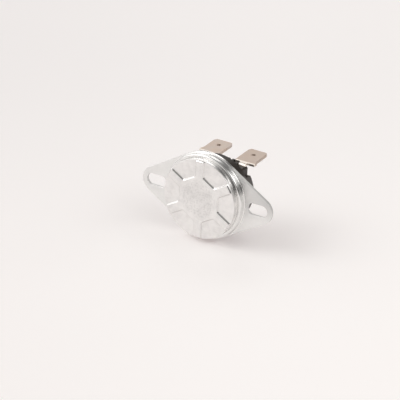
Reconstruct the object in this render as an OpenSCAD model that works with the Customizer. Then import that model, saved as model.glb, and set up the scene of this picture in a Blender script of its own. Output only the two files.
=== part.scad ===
// Flanged snap-disc safety thermostat.
// The origin is the centre of the sensing face. Depth runs along +Y, from the sensing face to the
// terminals, the two ears of the flange lie along X, and the terminals stand above the centre, along +Z.
// Sizes are in millimetres.

/* [Sensing cap] */
// Outer diameter of the cap
cap_d = 24; // [23:0.5:28]
// Thickness of the cap's sheet
cap_t = 0.6; // [0.5:0.05:0.7]
// Rounding of the edge round the sensing face
face_edge_r = 0.7; // [0.3:0.1:0.9]
// Rounding of the rear edge that is rolled over the body
roll_r = 0.6; // [0.3:0.1:1]
// Overlap of the rolled edge on the body
roll_lap = 0.7; // [0.5:0.1:1]
// Radius of the bead that stops the flange
bead_r = 0.3; // [0.2:0.05:0.4]
// Distance from the bead to the rolled edge
roll_lead = 0.25; // [0.1:0.05:1]

/* [Pressed star] */
// Number of pockets pressed into the sensing face
pocket_count = 6; // [4:2:8]
// Depth of the pockets
pocket_depth = 0.45; // [0.25:0.05:0.6]
// Width of the slope between the face and the pocket floor
pocket_flank = 0.4; // [0.1:0.05:0.5]
// Width across the flats of the hub left between the pockets
hub_af = 12.8; // [10:0.2:14]
// Width of the spokes left between the pockets
spoke_w = 2.3; // [1.5:0.1:3]
// Flat margin between the pockets and the rounded edge
pocket_margin = 0.5; // [0.2:0.1:1.5]

/* [Flange] */
// Depth of the flange's front face behind the sensing face
flange_y = 4.35; // [4:0.05:5]
// Thickness of the flange's sheet
flange_t = 0.75; // [0.6:0.05:1.2]
// Width of the flat ring of the flange round its collar
ring_w = 0.4; // [0.3:0.1:3]
// Height of the collar in front of the flange
collar_h = 1.95; // [1.5:0.05:3]
// Wall of the collar
collar_t = 0.85; // [0.7:0.05:1]
// Outer rounding of the collar's lip
lip_r = 0.5; // [0.3:0.05:0.6]
// Inner rounding of the collar's lip
lip_inner_r = 0.15; // [0.05:0.05:0.2]
// Rounding between the collar and the flange
collar_fillet = 0.35; // [0.2:0.05:1]
// Depth of the grooves turned into the collar
collar_groove = 0.12; // [0.05:0.01:0.2]
// Number of grooves turned into the collar
groove_count = 2; // [1:1:3]
// Web between the flat ring and the slots
slot_web = 0.75; // [0.3:0.05:2]
// Width of the slots
slot_w = 3.4; // [3:0.1:4.5]
// Length of the slots from end to end
slot_l = 6.6; // [5:0.1:8]
// Distance from the centre of a slot out to the centre of its ear's round end
ear_lead = 0.95; // [0.3:0.05:2]
// Radius of the ear ends
ear_r = 3.95; // [3.8:0.05:6]

/* [Body] */
// Depth of the contact chamber
chamber_h = 5.4; // [5.2:0.1:6.5]
// Thickness of the base behind the chamber
base_t = 1.3; // [1:0.1:2]
// Depth of the relief under the contact arm in the chamber floor
relief_h = 0.7; // [0.6:0.05:0.8]
// Step from the rim in to the base disc
base_step = 0.65; // [0.3:0.05:0.9]
// Height of the terminal block on the base
block_h = 2.8; // [2:0.1:5]
// Width of the terminal block between its side wings
block_w = 15.3; // [15:0.1:16]
// Height of the terminal block from its lower to its upper edge
block_z = 15.8; // [14:0.1:16.5]
// Step from the base disc in to the side wings
wing_step = 0.5; // [0.2:0.1:0.8]
// Height of the side wings from their lower to their upper edge
wing_z = 10.6; // [8:0.1:12]
// Reach of the middle rib from the centre
crown_z = 9.05; // [8.5:0.05:9.5]
// Width of the middle rib
crown_w = 3.4; // [2:0.1:4]
// Width of the two guide ribs beside the terminals
guide_w = 0.8; // [0.5:0.1:1]
// Gap between the middle rib and a guide rib
guide_gap = 0.85; // [0.5:0.05:1]
// Reach of the cheeks beside the necks of the terminals from the centre
cheek_z = 8.45; // [8:0.05:8.6]
// Height of the collar round the reset button
reset_collar_h = 0.8; // [0.4:0.1:1.5]
// Wall of the collar round the reset button
reset_collar_t = 1.1; // [0.6:0.1:1.4]

/* [Snap disc and holder] */
// Diameter of the bimetal disc
disc_d = 18.8; // [16:0.2:19]
// Thickness of the bimetal disc
disc_t = 0.25; // [0.2:0.05:0.3]
// Bow of the bimetal disc
disc_bow = 0.6; // [0.3:0.05:0.7]
// Height of the disc holder
holder_h = 3.2; // [3:0.1:3.6]
// Depth of the seat of the disc below the holder's front
seat_h = 1.25; // [1.1:0.05:1.4]
// Width of the ledge that carries the disc
ledge_w = 1; // [0.6:0.1:1.5]
// Depth of the hollow that the snapped disc dips into
dip_h = 0.9; // [0.8:0.05:1]
// Radius of the guide boss round the transfer pin
guide_boss_r = 2.4; // [1.9:0.1:3]
// Height of the guide boss behind the holder
guide_boss_h = 1.1; // [0.5:0.1:1.2]

/* [Switch] */
// Diameter of the transfer pin
pin_d = 2; // [1.6:0.1:2.4]
// Free play between the disc and the transfer pin
pin_play = 0.4; // [0.2:0.05:0.6]
// Height of the contact arm's front face above the chamber floor
arm_rise = 1.6; // [1.5:0.05:1.8]
// Thickness of the contact arm
arm_t = 0.35; // [0.25:0.05:0.4]
// Width of the contact arm
arm_w = 3; // [2.6:0.1:3.6]
// Radius of the eye at the root of the contact arm
arm_eye_r = 2; // [1.7:0.1:2.2]
// Distance of the contacts from the middle of the switch
contact_x = 3; // [2.9:0.05:3.1]
// Diameter of the contacts
contact_d = 2.4; // [2:0.1:2.5]
// Thickness of the contact faces
contact_t = 0.55; // [0.4:0.05:0.6]
// Diameter of the contacts' shank in the metal that carries them
shank_d = 1.2; // [1:0.1:1.4]
// Diameter of the closed tail of the contacts
tail_d = 1.7; // [1.5:0.1:1.9]
// Height of the closed tail of the contacts
tail_t = 0.25; // [0.15:0.05:0.3]
// Thickness of the fixed strip
strip_t = 0.6; // [0.4:0.05:0.7]
// Width of the fixed strip
strip_w = 4.2; // [3.4:0.1:4.4]
// Clearance between the hook of the fixed strip and the rivet head
hook_gap = 0.5; // [0.4:0.1:0.8]
// Edge of the fixed strip beyond its contact
strip_edge = 0.2; // [0.1:0.05:0.4]
// Edge of the spacer beyond the eye of the contact arm
spacer_edge = 0.2; // [0:0.05:0.3]
// Diameter of the reset button
reset_d = 3.4; // [2.6:0.1:3.8]
// Reach of the reset button beyond its collar
reset_reach = 1; // [0.7:0.1:2.5]
// Width of the shoulder that keeps the reset button in the body
reset_shoulder = 0.4; // [0.3:0.05:0.45]
// Thickness of the shoulder of the reset button
reset_shoulder_t = 0.5; // [0.3:0.1:0.6]
// Diameter of the nose that the contact arm lifts
reset_nose_d = 1.6; // [1:0.1:1.8]
// Height of the nose of the reset button
reset_nose_h = 0.5; // [0.4:0.05:0.6]
// Rounding of the ends of the transfer pin and the reset button
slide_edge_r = 0.3; // [0.1:0.05:0.4]

/* [Terminals] */
// Distance between the centres of the two terminals
terminal_pitch = 12; // [11.8:0.1:12.2]
// Width of the tabs
tab_w = 6.3; // [4.8:0.1:6.5]
// Thickness of the tabs
tab_t = 0.8; // [0.6:0.1:0.9]
// Length of the tabs behind their bend
tab_l = 8.4; // [7:0.1:9]
// Upward tilt of the tabs
tab_tilt = 6; // [0:0.5:8]
// Height of the tabs' upper face above the centre at the bend
tab_z = 8.75; // [8.7:0.05:9.6]
// Length of the chamfers at the tip of the tabs
tip_chamfer_l = 1; // [0.8:0.1:2]
// Width of the chamfers at the tip of the tabs
tip_chamfer_w = 0.6; // [0.5:0.1:1.5]
// Diameter of the locking hole in the tabs
tab_hole_d = 1.2; // [0.8:0.1:1.8]
// Distance of the locking hole from the tip
tab_hole_from_tip = 3.1; // [2:0.1:4]
// Distance from the bend to the shoulders of the tabs
shoulder_gap = 0.15; // [0.1:0.05:0.5]
// Reach of the stop nub beside a tab
nub_w = 0.45; // [0.3:0.05:1]
// Length of the stop nub
nub_l = 2.1; // [1:0.1:2.5]
// Width of the neck below the bend
neck_w = 2.4; // [2:0.1:2.5]
// Inner radius of the bend
bend_r = 0.4; // [0.2:0.05:0.6]
// Radius of the eye round the rivet
eye_r = 2.5; // [2.2:0.1:2.6]
// Diameter of the rivets
rivet_d = 1.8; // [1.4:0.1:2]
// Diameter of the rivet heads
rivet_head_d = 3; // [2.6:0.1:3.2]
// Thickness of the rivet heads
rivet_head_t = 0.7; // [0.5:0.05:0.8]
// Rounding of the outer rivet heads
rivet_edge_r = 0.5; // [0.2:0.05:0.5]

/* [Fits] */
// Radial clearance between seated pieces
seat_fit = 0.05; // [0.02:0.01:0.08]
// Radial clearance of the sliding pieces
slide_fit = 0.06; // [0.03:0.01:0.1]
// Clearance between pieces that push one another
push_gap = 0.1; // [0.05:0.01:0.15]
// Clearance on each side of the eye at the root of the contact arm
root_gap = 0.25; // [0.22:0.01:0.3]
// Clearance between the closed contacts
contact_gap = 0.05; // [0.03:0.01:0.1]
// Clearance between pieces that pass one another
free_gap = 0.3; // [0.2:0.05:0.4]
// Travel of the transfer pin when the disc snaps
trip_travel = 0.6; // [0.4:0.05:0.6]

/* [Hidden] */
$fn = 96;

// Segments of the large circles from which the bimetal disc is cut
dish_fn = 720;

// Cuts run past the faces that they open by this much, and joined solids share this much
over = 0.5;
join = 0.05;

// Radii round the axis of the cap
cap_r = cap_d / 2;
cap_bore = cap_r - cap_t;
inner_r = cap_bore - seat_fit;
pocket_r = cap_r - face_edge_r - pocket_margin;
roll_bore = inner_r - roll_lap;
collar_bore = cap_r + seat_fit;
collar_r = collar_bore + collar_t;
ring_r = collar_r + ring_w;
base_r = inner_r - base_step;
wing_r = base_r - wing_step;
disc_r = disc_d / 2;
pin_r = pin_d / 2;
reset_r = reset_d / 2;
shoulder_r = reset_r + reset_shoulder;
reset_boss_r = reset_r + slide_fit + reset_collar_t;

// The slots stand clear of the flat ring, and the ears close round them
slot_pitch = 2 * (ring_r + slot_web) + slot_l;
ear_pitch = slot_pitch + 2 * ear_lead;

// Depths behind the sensing face
holder_y = cap_t + pocket_depth;
ledge_y = holder_y + seat_h;
body_y = holder_y + holder_h;
roll_y = flange_y + flange_t + 2 * bead_r + roll_lead;
cap_end = roll_y + cap_t;
floor_y = body_y + chamber_h;
base_y = floor_y + base_t;
rear_y = base_y + block_h;
arm_y = floor_y - arm_rise;
arm_back = arm_y + arm_t;
disc_back = ledge_y - disc_bow;
pin_y = disc_back + pin_play;
fixed_face_y = arm_y - contact_t - contact_gap;
strip_y = fixed_face_y - contact_t - strip_t;
strip_foot_y = floor_y - strip_t;
reset_y = arm_back + push_gap;
shoulder_y = reset_y + reset_nose_h;
reset_end = rear_y + reset_collar_h + reset_reach;

// Centre of the bend of a terminal
bend_y = rear_y + bend_r;
bend_z = tab_z - (bend_r + tab_t) * cos(tab_tilt);

// The arm turns about the rivet, so the pin lifts it by the travel at the middle
rivet_x = terminal_pitch / 2;
neck_side = rivet_x - neck_w / 2 - seat_fit;
rivet_r = rivet_d / 2;
head_r = rivet_head_d / 2;

// The relief leaves room for the tripped arm, the contact's tail and the button's shoulder
contact_r = contact_d / 2;
shank_r = shank_d / 2;
relief_z = shoulder_r + free_gap;
arm_end = rivet_x - head_r - free_gap;
strip_start = arm_end + free_gap;

// The strip hooks back over the rivet head to reach the contact
strip_out = rivet_x + head_r + hook_gap + strip_t;
strip_tip = contact_x - contact_r - strip_edge;
spacer_r = arm_eye_r + spacer_edge;

// The chamber goes round the corners of the strip's hook
chamber_r = norm([strip_out, strip_w / 2]) + free_gap;

// Widening of a pocket from the outer to the inner side of the sheet, at an even thickness
pad_grow = cap_t * tan(atan(pocket_depth / pocket_flank) / 2);

// Turns a profile of radius and depth about the axis of the cap
module turned() {
  rotate([-90, 0, 0]) rotate_extrude() children();
}

// Extrudes an outline of X and Z from one depth to another
module slab(from_y, to_y) {
  translate([0, to_y, 0]) rotate([90, 0, 0]) linear_extrude(to_y - from_y) children();
}

// Extrudes an outline of X and Y over a width that is centred on Z
module strip(width) {
  translate([0, 0, -width / 2]) linear_extrude(width) children();
}

// A turned step of a profile, from the axis to a radius
module step(r, from_y, to_y) {
  translate([0, from_y]) square([r, to_y - from_y]);
}

// What a rounded convex corner takes off, with the corner at the origin and the material at -X and +Y
module corner_waste(r) {
  difference() {
    translate([-r, -over]) square([r + over, r + over]);
    translate([-r, r]) circle(r);
  }
}

// A bar across the face with sloping flanks, along X, with its narrow side on the face
module star_bar(width, from_y, to_y) {
  slope = pocket_flank / pocket_depth;
  near_w = width / 2 + from_y * slope;
  far_w = width / 2 + to_y * slope;
  rotate([90, 0, 90]) linear_extrude(cap_d, center = true)
    polygon([[-near_w, from_y], [near_w, from_y], [far_w, to_y], [-far_w, to_y]]);
}

// The pockets as solids between two depths; grow widens each of them all round
module pockets(from_y, to_y, grow) {
  slope = pocket_flank / pocket_depth;
  step_a = 360 / pocket_count;
  rotate([-90, 0, 0]) difference() {
    translate([0, 0, from_y])
      cylinder(h = to_y - from_y, r1 = pocket_r + grow - from_y * slope, r2 = pocket_r + grow - to_y * slope);
    intersection_for(i = [0:pocket_count / 2 - 1])
      rotate([0, 0, 90 + i * step_a]) star_bar(hub_af - 2 * grow, from_y - over, to_y + over);
    for (i = [0:pocket_count / 2 - 1])
      rotate([0, 0, (i + 0.5) * step_a]) star_bar(spoke_w - 2 * grow, from_y - over, to_y + over);
  }
}

module cap() {
  color([0.86, 0.85, 0.84]) difference() {
    union() {
      turned() {
        difference() {
          step(cap_r, 0, cap_end);
          translate([cap_r, 0]) corner_waste(face_edge_r);
          translate([cap_r, cap_end]) mirror([0, 1]) corner_waste(roll_r);
          step(cap_bore, cap_t, roll_y);
          step(roll_bore, roll_y - over, cap_end + over);
        }
        intersection() {
          translate([cap_r, flange_y + flange_t + bead_r]) circle(bead_r);
          translate([cap_bore, 0]) square([cap_r, cap_end]);
        }
      }
      translate([0, cap_t, 0]) pockets(-cap_t / 2, pocket_depth, pad_grow);
    }
    pockets(-over, pocket_depth, 0);
  }
}

// Angle of the straight edges between the ring and the ears
function edge_angle() = acos((ring_r - ear_r) / (ear_pitch / 2));

module flange_outline() {
  a = edge_angle();
  circle(ring_r);
  for (side = [-1, 1]) {
    translate([side * ear_pitch / 2, 0]) circle(ear_r);
    polygon([
      [0, 0],
      [side * ring_r * cos(a), ring_r * sin(a)],
      [side * (ear_pitch / 2 + ear_r * cos(a)), ear_r * sin(a)],
      [side * (ear_pitch / 2 + ear_r * cos(a)), -ear_r * sin(a)],
      [side * ring_r * cos(a), -ring_r * sin(a)]
    ]);
  }
}

module slot_outline() {
  straight = slot_l - slot_w;
  square([straight, slot_w], center = true);
  for (side = [-1, 1])
    translate([side * straight / 2, 0]) circle(slot_w / 2);
}

// Half section of the collar: a wall with a rounded lip, grooves and a fillet onto the plate
module collar_section() {
  lip_y = flange_y - collar_h;
  groove_pitch = (collar_h - collar_fillet - lip_r) / groove_count;
  difference() {
    union() {
      translate([collar_bore, lip_y]) square([collar_t, collar_h + flange_t / 2]);
      translate([collar_r - collar_t / 2, flange_y - collar_fillet])
        square([collar_fillet + collar_t / 2, collar_fillet + flange_t / 2]);
    }
    translate([collar_r, lip_y]) corner_waste(lip_r);
    translate([collar_bore, lip_y]) mirror([1, 0]) corner_waste(lip_inner_r);
    translate([collar_r + collar_fillet, flange_y - collar_fillet]) circle(collar_fillet);
    for (i = [0:groove_count - 1])
      translate([collar_r, lip_y + lip_r + (i + 0.5) * groove_pitch]) circle(collar_groove);
  }
}

module flange() {
  color([0.84, 0.84, 0.83]) {
    difference() {
      slab(flange_y, flange_y + flange_t) flange_outline();
      turned() step(collar_bore, flange_y - over, flange_y + flange_t + over);
      for (side = [-1, 1])
        slab(flange_y - over, flange_y + flange_t + over)
          translate([side * slot_pitch / 2, 0]) slot_outline();
    }
    turned() collar_section();
  }
}

// Outline of the terminal block: wings at the sides, a square core, and ribs and cheeks above and below
module block_outline() {
  guide_x = crown_w / 2 + guide_gap;
  cheek_w = neck_side - guide_x;
  intersection() {
    circle(wing_r);
    square([2 * wing_r, wing_z], center = true);
  }
  intersection() {
    circle(base_r);
    square([block_w, block_z], center = true);
  }
  square([crown_w, 2 * crown_z], center = true);
  for (side = [-1, 1]) {
    translate([side * (guide_x + guide_w / 2), 0]) square([guide_w, 2 * crown_z], center = true);
    translate([side * (guide_x + cheek_w / 2), 0]) square([cheek_w, 2 * cheek_z], center = true);
  }
}

// Foot of a terminal: an eye round the rivet and a neck that runs up from it
module foot_outline(grow, top_z) {
  translate([rivet_x, 0]) circle(eye_r + grow);
  translate([rivet_x - neck_w / 2 - grow, 0]) square([neck_w + 2 * grow, top_z]);
}

module body() {
  color([0.2, 0.17, 0.16]) difference() {
    union() {
      turned() {
        step(inner_r, body_y, roll_y);
        step(roll_bore - seat_fit, roll_y - over, cap_end + over);
        step(base_r, cap_end + seat_fit, base_y);
      }
      slab(base_y - over, rear_y) block_outline();
      turned() step(reset_boss_r, rear_y - over, rear_y + reset_collar_h);
    }
    turned() step(chamber_r, body_y - over, floor_y);
    slab(floor_y - over, floor_y + relief_h)
      translate([-(rivet_x - spacer_r), -relief_z])
        square([rivet_x - spacer_r + strip_start, 2 * relief_z]);
    turned() step(reset_r + slide_fit, floor_y - over, reset_end);
    for (side = [0, 1]) mirror([side, 0, 0]) {
      slab(floor_y - over, rear_y + over)
        translate([rivet_x, 0]) circle(rivet_r + seat_fit);
      slab(rear_y - tab_t, rear_y + over) foot_outline(seat_fit, block_z);
    }
  }
}

// A dished disc: the gap between two spheres, its rim on the ledge and its middle towards the face
module bimetal_disc() {
  sphere_r = (disc_r * disc_r + disc_bow * disc_bow) / (2 * disc_bow);
  color([0.62, 0.6, 0.55]) turned() intersection() {
    translate([0, disc_back - disc_t]) square([disc_r, disc_bow + disc_t]);
    difference() {
      translate([0, disc_back - disc_t + sphere_r]) circle(sphere_r, $fn = dish_fn);
      translate([0, disc_back + sphere_r]) circle(sphere_r, $fn = dish_fn);
    }
  }
}

module disc_holder() {
  color([0.45, 0.36, 0.28]) turned() difference() {
    union() {
      step(inner_r, holder_y, body_y);
      step(guide_boss_r, holder_y, body_y + guide_boss_h);
    }
    step(disc_r + seat_fit, holder_y - over, ledge_y);
    step(disc_r - ledge_w, ledge_y - over, ledge_y + dip_h);
    step(pin_r + slide_fit, holder_y, body_y + guide_boss_h + over);
  }
}

module transfer_pin() {
  color([0.93, 0.91, 0.86]) turned() difference() {
    step(pin_r, pin_y, arm_y - push_gap);
    translate([pin_r, pin_y]) corner_waste(slide_edge_r);
    translate([pin_r, arm_y - push_gap]) mirror([0, 1]) corner_waste(slide_edge_r);
  }
}

module contact_arm() {
  color([0.78, 0.5, 0.3]) difference() {
    slab(arm_y, arm_back) {
      translate([-rivet_x, 0]) circle(arm_eye_r);
      translate([-rivet_x, -arm_w / 2]) square([rivet_x + arm_end - arm_w / 2, arm_w]);
      translate([arm_end - arm_w / 2, 0]) circle(arm_w / 2);
    }
    slab(arm_y - over, arm_back + over) {
      translate([-rivet_x, 0]) circle(rivet_r + root_gap);
      translate([contact_x, 0]) circle(shank_r);
    }
  }
}

// A contact rivet along Y: face, shank through its carrier and closed tail
module contact_rivet(face_y, plate_y, plate_end, tail_y) {
  translate([contact_x, 0, 0]) turned() {
    step(contact_r, min(face_y, plate_y), max(face_y, plate_y));
    step(shank_r, min(face_y, tail_y), max(face_y, tail_y));
    step(tail_d / 2, min(plate_end, tail_y), max(plate_end, tail_y));
  }
}

module moving_contact() {
  color([0.88, 0.88, 0.86]) contact_rivet(arm_y - contact_t, arm_y, arm_back, arm_back + tail_t);
}

module fixed_contact() {
  color([0.88, 0.88, 0.86])
    contact_rivet(fixed_face_y, strip_y + strip_t, strip_y, strip_y - tail_t);
}

module fixed_strip() {
  color([0.8, 0.66, 0.36]) difference() {
    strip(strip_w) {
      translate([strip_start, strip_foot_y]) square([strip_out - strip_start, strip_t]);
      translate([strip_out - strip_t, strip_y]) square([strip_t, floor_y - strip_y]);
      translate([strip_tip, strip_y]) square([strip_out - strip_tip, strip_t]);
    }
    slab(strip_foot_y - over, floor_y + over) translate([rivet_x, 0]) circle(rivet_r + seat_fit);
    slab(strip_y - over, strip_y + strip_t + over) translate([contact_x, 0]) circle(shank_r);
  }
}

module arm_spacer() {
  color([0.8, 0.66, 0.36]) slab(arm_back + root_gap, floor_y) translate([-rivet_x, 0]) difference() {
    circle(spacer_r);
    circle(rivet_r + seat_fit);
  }
}

// The plunger: a nose on the arm, a shoulder in the chamber and a round head out of the rear face
module reset_button() {
  color([0.9, 0.88, 0.82]) turned() {
    step(reset_nose_d / 2, reset_y, reset_end - over);
    step(shoulder_r, shoulder_y, shoulder_y + reset_shoulder_t);
    difference() {
      step(reset_r, shoulder_y, reset_end);
      translate([reset_r, reset_end]) mirror([0, 1]) corner_waste(slide_edge_r);
    }
  }
}

// The flat part of a tab, drawn from the bend towards the tip, with the stop nub at its outer side
module tab_outline() {
  half = tab_w / 2;
  tip_half = half - tip_chamfer_w;
  difference() {
    polygon([
      [-neck_w / 2, -join],
      [neck_w / 2, -join],
      [neck_w / 2, shoulder_gap],
      [half + nub_w, shoulder_gap],
      [half + nub_w, shoulder_gap + nub_l / 2],
      [half, shoulder_gap + nub_l],
      [half, tab_l - tip_chamfer_l],
      [tip_half, tab_l],
      [-tip_half, tab_l],
      [-half, tab_l - tip_chamfer_l],
      [-half, shoulder_gap],
      [-neck_w / 2, shoulder_gap]
    ]);
    translate([0, tab_l - tab_hole_from_tip]) circle(tab_hole_d / 2);
  }
}

// The right-hand terminal: eye and foot on the rear face, a bend, and the tilted tab
module terminal() {
  bend_outer = bend_r + tab_t;
  reach = 2 * bend_outer;
  slab(rear_y - tab_t, rear_y) difference() {
    foot_outline(0, bend_z);
    translate([rivet_x, 0]) circle(rivet_r + seat_fit);
  }
  translate([rivet_x, bend_y, bend_z]) {
    rotate([tab_tilt, 0, 0]) translate([0, 0, bend_r]) linear_extrude(tab_t) tab_outline();
    rotate([0, 90, 0]) intersection() {
      difference() {
        cylinder(h = neck_w, r = bend_outer, center = true);
        cylinder(h = neck_w + over, r = bend_r, center = true);
      }
      linear_extrude(neck_w + over, center = true)
        polygon([[0, 0], [0, -reach], [-reach, -reach], [-reach * cos(tab_tilt), -reach * sin(tab_tilt)]]);
    }
  }
}

module terminal_right() {
  color([0.76, 0.72, 0.67]) terminal();
}

module terminal_left() {
  color([0.76, 0.72, 0.67]) mirror([1, 0, 0]) terminal();
}

// A rivet from its inner head, past the body, to its head on the rear face
module rivet(inner_y) {
  turned() {
    step(head_r, inner_y - rivet_head_t, inner_y);
    step(rivet_r, inner_y - rivet_head_t, rear_y + rivet_head_t);
    difference() {
      step(head_r, rear_y, rear_y + rivet_head_t);
      translate([head_r, rear_y + rivet_head_t]) mirror([0, 1]) corner_waste(rivet_edge_r);
    }
  }
}

// Holds the left terminal, the spacer and the root of the contact arm
module arm_rivet() {
  color([0.8, 0.78, 0.74]) translate([-rivet_x, 0, 0]) rivet(arm_y - root_gap);
}

// Holds the right terminal and the fixed strip
module strip_rivet() {
  color([0.8, 0.78, 0.74]) translate([rivet_x, 0, 0]) rivet(strip_foot_y);
}

cap();
flange();
body();
bimetal_disc();
disc_holder();
transfer_pin();
contact_arm();
moving_contact();
fixed_contact();
fixed_strip();
arm_spacer();
reset_button();
terminal_left();
terminal_right();
arm_rivet();
strip_rivet();
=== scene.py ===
import math

import bmesh
import bpy
import numpy as np
from bpy.props import FloatProperty, FloatVectorProperty, PointerProperty
from mathutils import Matrix, Vector
from mathutils.geometry import tessellate_polygon


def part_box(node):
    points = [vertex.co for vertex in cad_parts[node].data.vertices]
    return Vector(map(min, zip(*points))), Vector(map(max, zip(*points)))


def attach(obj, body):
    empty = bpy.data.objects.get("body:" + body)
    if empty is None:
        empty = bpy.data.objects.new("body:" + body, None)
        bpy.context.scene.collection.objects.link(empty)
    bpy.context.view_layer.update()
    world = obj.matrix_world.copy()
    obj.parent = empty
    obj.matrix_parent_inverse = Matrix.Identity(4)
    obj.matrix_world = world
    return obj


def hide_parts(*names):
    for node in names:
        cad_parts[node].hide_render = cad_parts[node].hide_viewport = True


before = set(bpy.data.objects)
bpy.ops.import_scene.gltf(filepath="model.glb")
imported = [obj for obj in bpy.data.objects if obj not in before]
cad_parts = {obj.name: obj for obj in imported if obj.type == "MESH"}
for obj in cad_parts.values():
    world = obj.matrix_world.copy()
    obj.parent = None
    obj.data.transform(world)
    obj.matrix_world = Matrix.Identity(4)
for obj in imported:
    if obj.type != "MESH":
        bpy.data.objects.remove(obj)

bl_info = {
    "name": "Flanged safety thermostat",
    "version": (1, 0, 0),
    "blender": (4, 5, 0),
    "location": "View3D > Sidebar > Thermostat",
    "description": "Builds the pressed, turned and moulded pieces of a flanged safety thermostat",
    "category": "Object",
}

MM = 0.001
WELD = 1e-6

CAP_LOW, CAP_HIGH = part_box("cap")
FLANGE_LOW, FLANGE_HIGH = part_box("flange")
RIVET_LOW, RIVET_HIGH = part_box("strip_rivet")
BUTTON_LOW, BUTTON_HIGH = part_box("reset_button")
FLOOR_Z = min(CAP_LOW.z, FLANGE_LOW.z)
CORNER_STEPS = 7


def length(name, text, default):
    """A length property whose default is given in metres."""
    return FloatProperty(name=name, description=text, default=default, unit="LENGTH", precision=6)


def tint(name, text, default):
    """A colour property with a linear default."""
    return FloatVectorProperty(
        name=name, description=text, default=default, subtype="COLOR", size=3, min=0, max=1,
    )


class ThermostatCap(bpy.types.PropertyGroup):
    """Sizes and colour of the drawn sensing cap."""

    bead: length("Bead", "Reach of the bead that stops the flange", 0.3 * MM)
    sheet: length("Sheet", "Thickness of the cap's sheet", 0.6 * MM)
    edge: length("Edge", "Rounding round the sensing face", 0.7 * MM)
    roll: length("Roll", "Rounding of the rear edge that is rolled over the body", 0.6 * MM)
    lap: length("Lap", "Reach of the rolled edge over the body, from the bore", 0.75 * MM)
    pocket: length("Pocket depth", "Depth of the six pressed pockets", 0.45 * MM)
    flank: length("Flank", "Width of the slope round a pocket", 0.4 * MM)
    hub: length("Hub", "Half the width across the flats of the hub", 6.4 * MM)
    spoke: length("Spoke", "Half the width of the spokes", 1.15 * MM)
    corner: length("Corner", "Softness of the pockets' corners in plan", 0.5 * MM)
    colour: tint("Aluminium", "Colour of the bare aluminium", (0.86, 0.85, 0.84))


class ThermostatFlange(bpy.types.PropertyGroup):
    """Sizes and colour of the mounting flange."""

    sheet: length("Sheet", "Thickness of the flange's sheet", 0.75 * MM)
    ear: length("Ear", "Radius of the ear ends", 3.95 * MM)
    slot_width: length("Slot width", "Width of the slots", 3.4 * MM)
    slot_length: length("Slot length", "Length of the slots", 6.6 * MM)
    slot_place: length("Slot place", "Distance of a slot's centre from the axis", 17.35 * MM)
    bore: length("Bore", "Radius of the collar's bore", 12.01 * MM)
    wall: length("Collar wall", "Wall of the drawn collar", 0.89 * MM)
    lip: length("Lip", "Outer rounding of the collar's lip", 0.5 * MM)
    lip_inner: length("Inner lip", "Inner rounding of the collar's lip", 0.05 * MM)
    fillet: length("Fillet", "Rounding between the collar and the plate", 0.35 * MM)
    groove: length("Groove", "Depth of the turned grooves", 0.07 * MM)
    burr: length("Burr side", "Rounding of the stamped edges on the rear", 0.06 * MM)
    rollover: length("Rollover", "Rounding of the stamped edges on the front", 0.1 * MM)
    colour: tint("Aluminium", "Colour of the bare aluminium", (0.85, 0.85, 0.84))


class ThermostatTerminal(bpy.types.PropertyGroup):
    """Sizes and colour of the two bent tab terminals and their rivets."""

    sheet: length("Sheet", "Thickness of the tabs", 0.8 * MM)
    pitch: length("Place", "Distance of a terminal's middle from the axis", 6 * MM)
    width: length("Width", "Width of the tabs", 6.3 * MM)
    blade: length("Blade", "Length of a tab behind its bend", 8.4 * MM)
    bend: length("Bend", "Inner radius of the bend", 0.4 * MM)
    tilt: FloatProperty(
        name="Tilt", description="Upward tilt of the tabs", default=math.radians(6), subtype="ANGLE",
    )
    top: length("Top", "Height of the upper face at the bend", 8.75 * MM)
    neck: length("Neck", "Width of the neck", 2.4 * MM)
    eye: length("Eye", "Radius of the eye round the rivet", 2.5 * MM)
    shoulder: length("Shoulder", "Distance from the bend to the shoulders", 0.15 * MM)
    nub: length("Nub", "Reach of the stop nub", 0.45 * MM)
    nub_length: length("Nub length", "Length of the stop nub", 2.1 * MM)
    tip_length: length("Tip length", "Length of the chamfers at the tip", 1.0 * MM)
    tip_width: length("Tip width", "Width of the chamfers at the tip", 0.6 * MM)
    hole: length("Hole", "Radius of the locking hole", 0.6 * MM)
    hole_from_tip: length("Hole from tip", "Distance of the locking hole from the tip", 3.1 * MM)
    edge: length("Edge", "Rounding of the stamped edges", 0.1 * MM)
    shank: length("Shank", "Radius of the rivets' shanks", 0.9 * MM)
    head: length("Head", "Thickness of the rivets' heads", 0.7 * MM)
    colour: tint("Plating", "Colour of the tin plating", (0.53, 0.46, 0.41))
    tarnish: tint("Tarnish", "Colour of the warm clouds on the plating", (0.54, 0.44, 0.37))
    # Colour of the painted highlight on the outside of the bend
    painted_highlight: tint("Painted highlight", "Colour of the plating where it is worn at the bend", (0.95, 0.89, 0.82))
    rivet: tint("Rivets", "Colour of the rivets", (0.72, 0.69, 0.63))


class ThermostatBody(bpy.types.PropertyGroup):
    """Finish of the moulded body and the reset button."""

    edge: length("Edge", "Rounding of the moulded edges", 0.12 * MM)
    colour: tint("Phenolic", "Colour of the dark phenolic", (0.02, 0.013, 0.009))
    fibre: tint("Fibres", "Colour of the fibres in the phenolic", (0.09, 0.07, 0.055))
    button: tint("Button", "Colour of the reset button", (0.75, 0.71, 0.62))


class ThermostatSwitch(bpy.types.PropertyGroup):
    """Colours of the disc, its holder and the switch inside."""

    disc: tint("Disc", "Colour of the bimetal disc", (0.55, 0.53, 0.48))
    holder: tint("Holder", "Colour of the disc's holder", (0.2, 0.13, 0.085))
    fibre: tint("Fibres", "Colour of the fibres in the holder", (0.36, 0.27, 0.19))
    ceramic: tint("Ceramic", "Colour of the transfer pin", (0.84, 0.81, 0.74))
    copper: tint("Copper", "Colour of the contact arm", (0.78, 0.48, 0.3))
    silver: tint("Silver", "Colour of the contacts", (0.88, 0.87, 0.84))
    brass: tint("Brass", "Colour of the fixed strip and the spacer", (0.8, 0.62, 0.32))


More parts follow.
